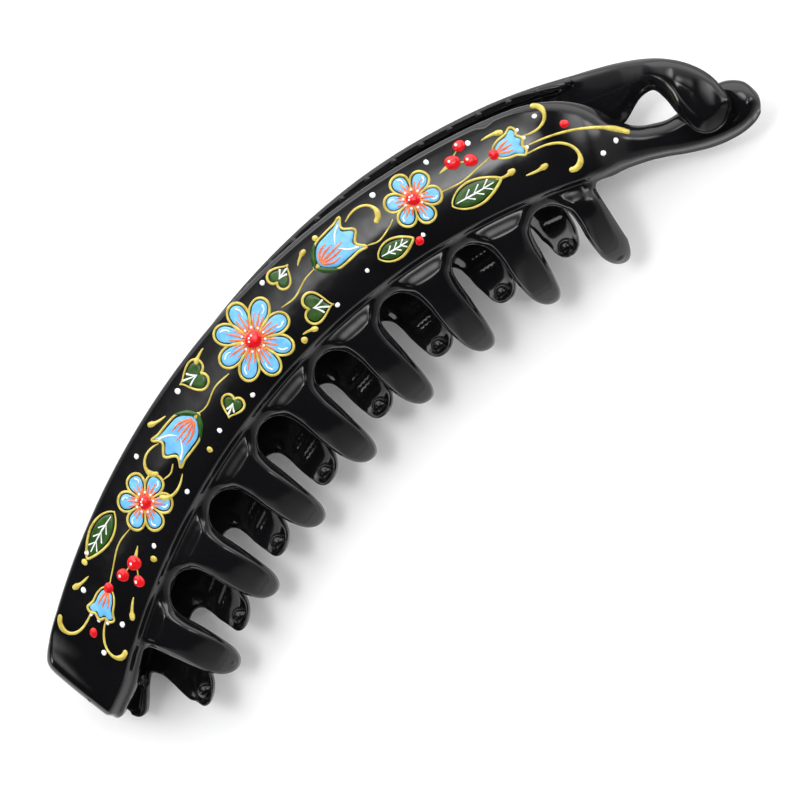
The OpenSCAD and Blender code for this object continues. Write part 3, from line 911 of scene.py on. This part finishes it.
def leaf(long, wide, *at):
    shape = move(leaf_shape(long, wide), *at)
    bordered("green", shape, move([(long * 0.46, 0)], *at)[0], 0.4)
    vein = [(long * 0.06, 0), (long * 0.45, 0.04 * wide), (long * 0.88, 0)]
    stroke("white", move(vein, *at), FINE, 0.12, base=0.1)
    for x in (0.25, 0.45, 0.65):
        for y in (-wide, wide):
            line = [(long * x, 0), (long * (x + 0.09), y * 0.16), (long * (x + 0.15), y * 0.27)]
            stroke("white", move(line, *at), (0.14, 0.2, 0.26), 0.11, base=0.1)


def heart_leaf(s, u, heading, size):
    shape = move(heart_shape(size), s, u, heading)
    bordered("green", shape, (s, u), 0.4, 0.5)
    for bend, far in ((-16, 1.0), (3, 1.35), (18, 0.95)):
        foot = move([(-0.2 * size, 0)], s, u, heading)[0]
        line = curl(*foot, heading + bend, size * far * 0.8, bend, bend * 0.4, 1.6)
        stroke("white", line, (0.16, 0.26, 0.36), 0.12, base=0.1)


def berries(s, u, heading):
    for x, y, r in ((0, 0, 1.2), (2.4, 1.3, 1.05), (2.3, -1.5, 0.95)):
        at = move([(x, y)], s, u, heading)[0]
        stem = move([(-2.6, 0.2), ((x - 2.6) / 2, y * 0.25), (x, y)], s, u, heading)
        stroke("gold", stem, FINE)
        dot("red", *at, r, 0.5 * r, base=0.02)
        dot("white", at[0] - 0.3, at[1] - 0.35, 0.24, 0.12, base=0.42 * r)


def dots(colour, places, r):
    for s, u in places:
        dot(colour, s, u, r * DICE.uniform(0.85, 1.12), squash=DICE.uniform(0.9, 1.15))


def paint_design():
    """Flowers, leaves and berries along the band, joined by vines, with scrolls, small strokes and dots."""
    daisy(-19, 6.9, 8, 6.1, 1.4, 12)
    daisy(14.0, 5.9, 6, 4.1, 1.1, 20)
    daisy(-49.6, 7.3, 6, 4.2, 1.1, 0)
    tulip(-3.6, 5.6, -6, 1.12)
    tulip(-34.4, 7.3, 186, 1.12)
    heart_leaf(-8.4, 10.3, 30, 2.3)
    heart_leaf(-29.4, 3.4, 205, 2.2)
    heart_leaf(-9.4, 3.0, -18, 1.7)
    heart_leaf(-29.0, 10.9, 160, 1.6)
    leaf(8.0, 3.1, 19.0, 9.9, -3)
    leaf(7.6, 3.0, -54.0, 3.4, 187)
    leaf(5.6, 2.5, 4.6, 10.6, 4)
    bell(28.6, 5.6, -6)
    bell(-64.6, 7.4, 178)
    berries(22.0, 4.0, -8)
    berries(-58.6, 9.8, 172)
    # Vines
    stroke("gold", [(-12.4, 6.6), (-9.8, 6.9), (-6.8, 5.9), (-4.4, 5.6)], FINE)
    stroke("gold", [(-25.6, 7.4), (-28.6, 7.0), (-31.6, 7.7), (-33.6, 7.3)], FINE)
    stroke("gold", [(4.0, 7.9), (6.0, 8.4), (8.4, 7.6), (9.6, 6.9)], FINE)
    stroke("gold", [(18.4, 7.2), (21.8, 7.3), (25.4, 6.4), (27.8, 5.7)], FINE)
    stroke("gold", [(-42.2, 8.3), (-43.6, 8.7), (-45.0, 8.2)], FINE)
    stroke("gold", [(-54.2, 7.0), (-57.4, 6.3), (-61.0, 6.9), (-63.8, 7.4)], FINE)
    # Scrolls to both ends
    scroll(32.6, 7.6, -8, 12.0, 1, 40, 1.6)
    scroll(33.0, 4.8, 8, 7.6, -5, -46, 1.4)
    scroll(33.6, 6.4, -4, 15.0, 1.0, 3.4, 1.0)
    scroll(-68.6, 8.6, 176, 8.4, -3, -46, 1.5)
    scroll(-68.4, 6.0, 184, 9.0, 2, 44, 1.5)
    scroll(3.6, 2.9, -28, 7.6, 6, 44, 1.2)
    scroll(-41.0, 4.6, 214, 6.8, -8, -44, 1.2)
    scroll(-42.6, 10.4, 158, 5.6, 4, 30, 1.2)
    # Small strokes
    for s, u, heading, length, bend in (
            (-6.2, 3.5, -40, 2.2, 18), (-12.9, 11.9, 10, 2.2, 14), (-25.4, 1.7, 176, 2.2, -14),
            (26.6, 9.3, 12, 3.0, -16), (31.2, 10.6, 4, 3.4, -9), (-37.0, 3.2, 196, 2.8, 14),
            (-64.2, 3.6, 200, 3.0, 12), (-63.4, 11.7, 172, 3.0, -10), (27.4, 2.9, -10, 3.0, 12)):
        scroll(s, u, heading, length, bend * 0.4, bend, 1.2)
    dots("white", [(-12.0, 1.7), (-5.6, 12.2), (1.6, 11.0), (-25.6, 12.4), (-32.8, 2.6), (-33.4, 11.6),
                   (9.2, 2.0), (18.6, 2.0), (25.4, 2.4), (43.4, 11.2), (36.0, 2.6), (-44.6, 2.6),
                   (-54.6, 11.6), (-61.2, 2.0), (-68.0, 11.4), (-66.4, 3.6), (-73.4, 9.8), (-44.4, 12.4),
                   (12.2, 11.4), (46.0, 9.8)], 0.42)
    dots("gold", [(-36.8, 12.0), (-1.6, 2.0), (29.2, 9.2), (-56.4, 12.4), (-62.6, 2.2), (-13.4, 12.7)], 0.5)
    dots("red", [(39.6, 5.2), (-71.4, 7.3), (11.2, 11.9)], 0.8)


# colour: dark and light tone, roughness, share of metal
PAINTS = dict(gold=((0.48, 0.36, 0.05), (0.78, 0.66, 0.16), 0.32, 0.12),
              blue=((0.12, 0.42, 0.77), (0.20, 0.55, 0.88), 0.22, 0.0),
              orange=((0.78, 0.13, 0.035), (0.90, 0.26, 0.10), 0.26, 0.0),
              red=((0.58, 0.004, 0.008), (0.76, 0.012, 0.016), 0.16, 0.0),
              green=((0.012, 0.052, 0.005), (0.035, 0.105, 0.012), 0.2, 0.0),
              white=((0.80, 0.80, 0.82), (0.92, 0.92, 0.93), 0.25, 0.0))


paint_design()
for colour, (verts, tris) in COATS.items():
    name = "paint_" + colour
    coat = make(name, np.concatenate(verts), tris, paint(name, *PAINTS[colour]), "upper_half")
    bm = bmesh.new()
    bm.from_mesh(coat.data)
    bmesh.ops.recalc_face_normals(bm, faces=bm.faces)
    bmesh.ops.triangulate(bm, faces=bm.faces)
    bm.to_mesh(coat.data)
    bm.free()


def floor():
    """A wide sheet of white paper under the clip."""
    bm = bmesh.new()
    bmesh.ops.create_grid(bm, x_segments=8, y_segments=8, size=1.5)
    mesh = bpy.data.meshes.new("floor")
    bm.to_mesh(mesh)
    bm.free()
    obj = bpy.data.objects.new("floor", mesh)
    scene.collection.objects.link(obj)
    m, tree, shader, where = node_material("floor_paper")
    tone = ramp(tree, noise(tree, where, 3), [(0.3, 0.93), (0.7, 0.95)])
    tree.links.new(tone, shader.inputs["Base Color"])
    shader.inputs["Roughness"].default_value = 0.9
    shader.inputs["Specular IOR Level"].default_value = 0.1
    shader.inputs["Emission Color"].default_value = (1, 1, 1, 1)
    shader.inputs["Emission Strength"].default_value = 0.08
    mesh.materials.append(m)


floor()


# The camera leans as the photo shows. back and right are two of its axes in the scene, its place is in mm in
# plan, and its focal length and the centre of the view are in pixels of the picture.
PICTURE, FOCAL, CENTRE = 800, 3994.85, (373.994, 372.467)
back = Vector((0.21337, -0.08611, 0.97317))
right = Vector((0.76833, -0.60047, -0.2216))
up = back.cross(right)
at = ((202.292 - ORIGIN[0]) * MM, (-50.39 - ORIGIN[1]) * MM, 617.364 * MM)
eye = bpy.data.cameras.new("camera")
camera = bpy.data.objects.new("camera", eye)
camera.matrix_world = Matrix([(right[k], up[k], back[k], at[k]) for k in range(3)] + [(0, 0, 0, 1)])
eye.sensor_width = 36
eye.lens = FOCAL / PICTURE * 36
eye.shift_x = (PICTURE / 2 - CENTRE[0]) / PICTURE
eye.shift_y = (CENTRE[1] - PICTURE / 2) / PICTURE
eye.clip_end = 20
scene.collection.objects.link(camera)
scene.camera = camera

# A soft light from the image's upper left, aimed at the clip
lamp = bpy.data.lights.new("key", "AREA")
lamp.shape = "RECTANGLE"
lamp.size, lamp.size_y = 0.26, 0.20
lamp.energy = 2.25
key = bpy.data.objects.new("key", lamp)
key.location = (-0.08, 0.22, 1.0)
key.rotation_euler = (-key.location).to_track_quat("-Z", "Y").to_euler()
key.visible_glossy = False
scene.collection.objects.link(key)

world = bpy.data.worlds.new("studio")
world.use_nodes = True
scene.world = world
sky = world.node_tree
coord = sky.nodes.new("ShaderNodeTexCoord")


def towards(axis):
    """How far a direction of the surroundings points along an axis."""
    turn = sky.nodes.new("ShaderNodeVectorMath")
    turn.operation = "DOT_PRODUCT"
    turn.inputs[1].default_value = Vector(axis).normalized()
    sky.links.new(coord.outputs["Generated"], turn.inputs[0])
    return turn.outputs["Value"]


def scaled(value, scale, add=0.0, clamp=False):
    part = sky.nodes.new("ShaderNodeMath")
    part.operation = "MULTIPLY_ADD"
    part.use_clamp = clamp
    sky.links.new(value, part.inputs[0])
    part.inputs[1].default_value = scale
    part.inputs[2].default_value = add
    return part.outputs[0]


def length(parts):
    """Length of a vector with these parts."""
    vector = sky.nodes.new("ShaderNodeCombineXYZ")
    for part, socket in zip(parts, vector.inputs):
        sky.links.new(part, socket)
    size = sky.nodes.new("ShaderNodeVectorMath")
    size.operation = "LENGTH"
    sky.links.new(vector.outputs[0], size.inputs[0])
    return size.outputs["Value"]


def product(one, two):
    """Two colours multiplied. Sockets 6 and 7 are the node's colours, and output 2 is its colour."""
    both = sky.nodes.new("ShaderNodeMix")
    both.data_type = "RGBA"
    both.blend_type = "MULTIPLY"
    both.inputs["Factor"].default_value = 1.0
    sky.links.new(one, both.inputs[6])
    sky.links.new(two, both.inputs[7])
    return both.outputs[2]


def add_light(colour, strength):
    """Adds a coloured light to what the surroundings already give."""
    light = sky.nodes.new("ShaderNodeBackground")
    sky.links.new(colour, light.inputs["Color"])
    light.inputs["Strength"].default_value = strength
    total = sky.nodes.new("ShaderNodeAddShader")
    surface = sky.nodes["World Output"].inputs["Surface"]
    sky.links.new(surface.links[0].from_socket, total.inputs[0])
    sky.links.new(light.outputs[0], total.inputs[1])
    sky.links.new(total.outputs[0], surface)


def glow(axis, wide, deep, strength):
    """A soft patch of light in the surroundings. Its half sizes at half strength are sines."""
    axis = Vector(axis).normalized()
    side = Vector((axis.z, 0, -axis.x)).normalized()
    away = length([scaled(towards(side), 0.5 / wide), scaled(towards(axis.cross(side)), 0.5 / deep)])
    spot = ramp(sky, away, [(0, 1), (0.34, 0.8), (0.5, 0.48), (0.68, 0.14), (0.9, 0)])
    front = ramp(sky, towards(axis), [(0.1, 0), (0.3, 1)])
    add_light(product(spot, front), strength)


# White surroundings under a dark oval ceiling that ends at a pale horizon, with two darker sides
cap = length([scaled(towards((-0.966, 0.259, 0)), 0.45, -0.30 * 0.45),
              scaled(towards((0.259, 0.966, 0)), 0.93, 0.162 * 0.93),
              scaled(towards((0, 0, 1)), -4.4, 1.1, clamp=True)])
walls = ramp(sky, cap, [(0.34, 0.004), (0.44, 0.02), (0.475, 0.09), (0.50, 0.25), (0.55, 0.33), (0.66, 0.52),
                        (0.82, 1)])
near = ramp(sky, towards((0.3, -0.95, 0)), [(0.33, 1), (0.6, 0.38), (0.9, 0.34)])
left = ramp(sky, towards((-0.85, 0.52, 0)), [(0.7, 1), (0.88, 0.34)])
sky.links.new(product(walls, product(near, left)), sky.nodes["Background"].inputs["Color"])
sky.nodes["Background"].inputs["Strength"].default_value = 3.0
# In the ceiling a long soft panel with one sharp side, and five soft patches
across = ramp(sky, towards((0, 1, 0)), [(0.074, 0), (0.096, 1), (0.14, 0.6), (0.20, 0.18), (0.27, 0.03),
                                        (0.36, 0)])
along = ramp(sky, towards((-0.6, 0, 0.8)), [(0.745, 0), (0.79, 0.5), (0.82, 1), (0.885, 1), (0.905, 0.3),
                                            (0.94, 0)])
add_light(product(across, along), 11.0)
glow((-0.11, 0.50, 1.0), 0.205, 0.10, 5.6)
glow((0.60, -0.01, 0.80), 0.22, 0.10, 4.5)
glow((0.80, -0.11, 0.59), 0.10, 0.06, 6.0)
glow((0.14, 0.20, 0.97), 0.10, 0.05, 5.0)
glow((-0.75, 0.08, 0.75), 0.13, 0.10, 2.2)

scene.view_settings.view_transform = "Standard"
scene.view_settings.look = "None"
